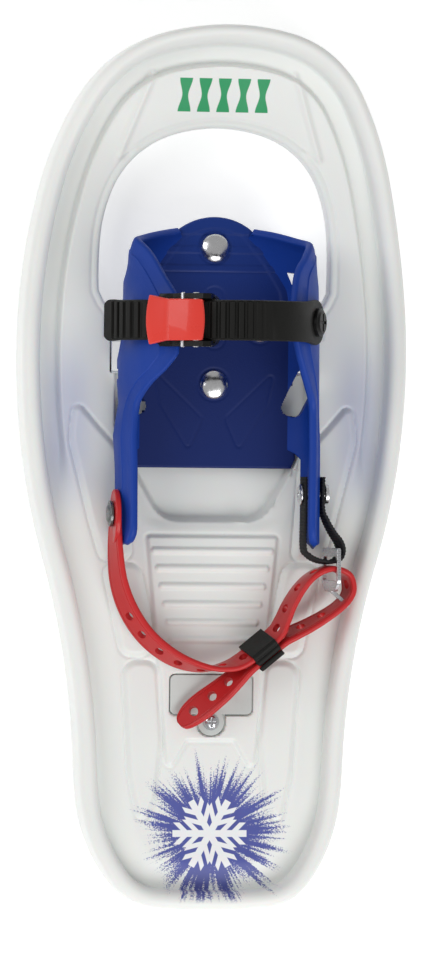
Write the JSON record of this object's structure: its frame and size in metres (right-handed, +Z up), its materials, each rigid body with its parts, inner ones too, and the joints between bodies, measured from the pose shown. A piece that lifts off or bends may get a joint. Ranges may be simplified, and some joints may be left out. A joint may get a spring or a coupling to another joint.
{
  "type": "child snowshoe",
  "caption": "Child moulded snowshoe with a rolled rim, toe opening and heel platform, and a pivoting strap binding with toe crampon, ratchet buckle, hooked heel strap and tail light unit.",
  "frame": {"origin": "on the ground under the middle of the deck length and width", "axes": "+X across the shoe to the wearer's inner side, +Y towards the toe, +Z up"},
  "size_m": [0.1804, 0.406, 0.0853],
  "materials": {
    "deck": "pearl white moulded polypropylene, satin",
    "steel": "bright plated",
    "spring_steel": "plain",
    "binding_blue": "flexible moulded elastomer, fine grain",
    "crampon": "zinc-rich grey paint",
    "strap_black": "moulded, semi-matt",
    "buckle_black": "glass-filled nylon, fine grain",
    "lever_red": "moulded, light gloss",
    "strap_red": "flexible elastomer, satin",
    "webbing": "woven nylon, ribbed",
    "bush": "acetal",
    "door": "translucent white, satin",
    "seal": "silicone",
    "brass": "plain",
    "cells": "bright nickel",
    "tray": "moulded",
    "board": "solder-masked laminate",
    "lens": "clear tinted",
    "chip": "moulded"
  },
  "bodies": {
    "frame": {"deck": "deck", "axle_rod": "steel", "axle_push_nuts": "spring_steel", "battery_door": "door", "cell_tray": "tray", "button_cells": "cells", "cell_contacts": "brass", "circuit_board": "board", "leds": "lens", "motion_switch": "brass", "driver_chip": "chip", "door_gasket": "seal", "screw_insert": "brass"},
    "door_screw": {"door_screw": "steel"},
    "binding": {"binding_cradle": "binding_blue", "toe_crampon": "crampon", "crampon_rivets": "steel", "pivot_bushes": "bush", "ladder_strap": "strap_black", "ladder_strap_rivet": "strap_black", "ladder_rivet_washer": "steel", "buckle_base": "buckle_black", "buckle_rivet": "steel", "lever_pin": "steel", "pawl_pin": "steel", "lever_springs": "spring_steel", "heel_strap_rivet": "steel", "webbing_rivet": "steel"},
    "lever": {"buckle_lever": "lever_red"},
    "pawl": {"buckle_pawl": "steel"},
    "heel_loop": {"heel_strap": "strap_red", "webbing_loop": "webbing", "hook_buckle": "steel"},
    "keeper": {"strap_keeper": "strap_black"}
  },
  "joints": [
    {"name": "binding_pivot", "type": "hinge", "parent": "frame", "child": "binding", "pos_m": [0, 0.0615, 0.009], "axis": [-1, 0, 0], "range_deg": [0, 45]},
    {"name": "lever_swing", "type": "hinge", "parent": "binding", "child": "lever", "pos_m": [-0.01892, 0.0675, 0.07968], "axis": [0, 1, 0], "range_deg": [0, 50], "stiffness_Nm_per_rad": 0.05},
    {"name": "pawl_swing", "type": "hinge", "parent": "binding", "child": "pawl", "pos_m": [-0.02444, 0.0675, 0.07734], "axis": [0, 1, 0], "range_deg": [0, 12.5]},
    {"name": "heel_strap_swing", "type": "hinge", "parent": "binding", "child": "heel_loop", "pos_m": [0, -0.0207, 0.037], "axis": [-1, 0, 0], "range_deg": [0, 75], "deforming": ["webbing_loop"]},
    {"name": "keeper_slide", "type": "slide", "parent": "heel_loop", "child": "keeper", "axis": [0.7716, 0.6361, 0], "range_m": [-0.0015, 0.0015]},
    {"name": "screw_turn", "type": "hinge", "parent": "frame", "child": "door_screw", "pos_m": [0, -0.1166, 0.0215], "axis": [0, 0, 1], "continuous": true}
  ],
  "couplings": [
    {"joint": "pawl_swing", "follows": "lever_swing", "ratio": 0.25}
  ]
}
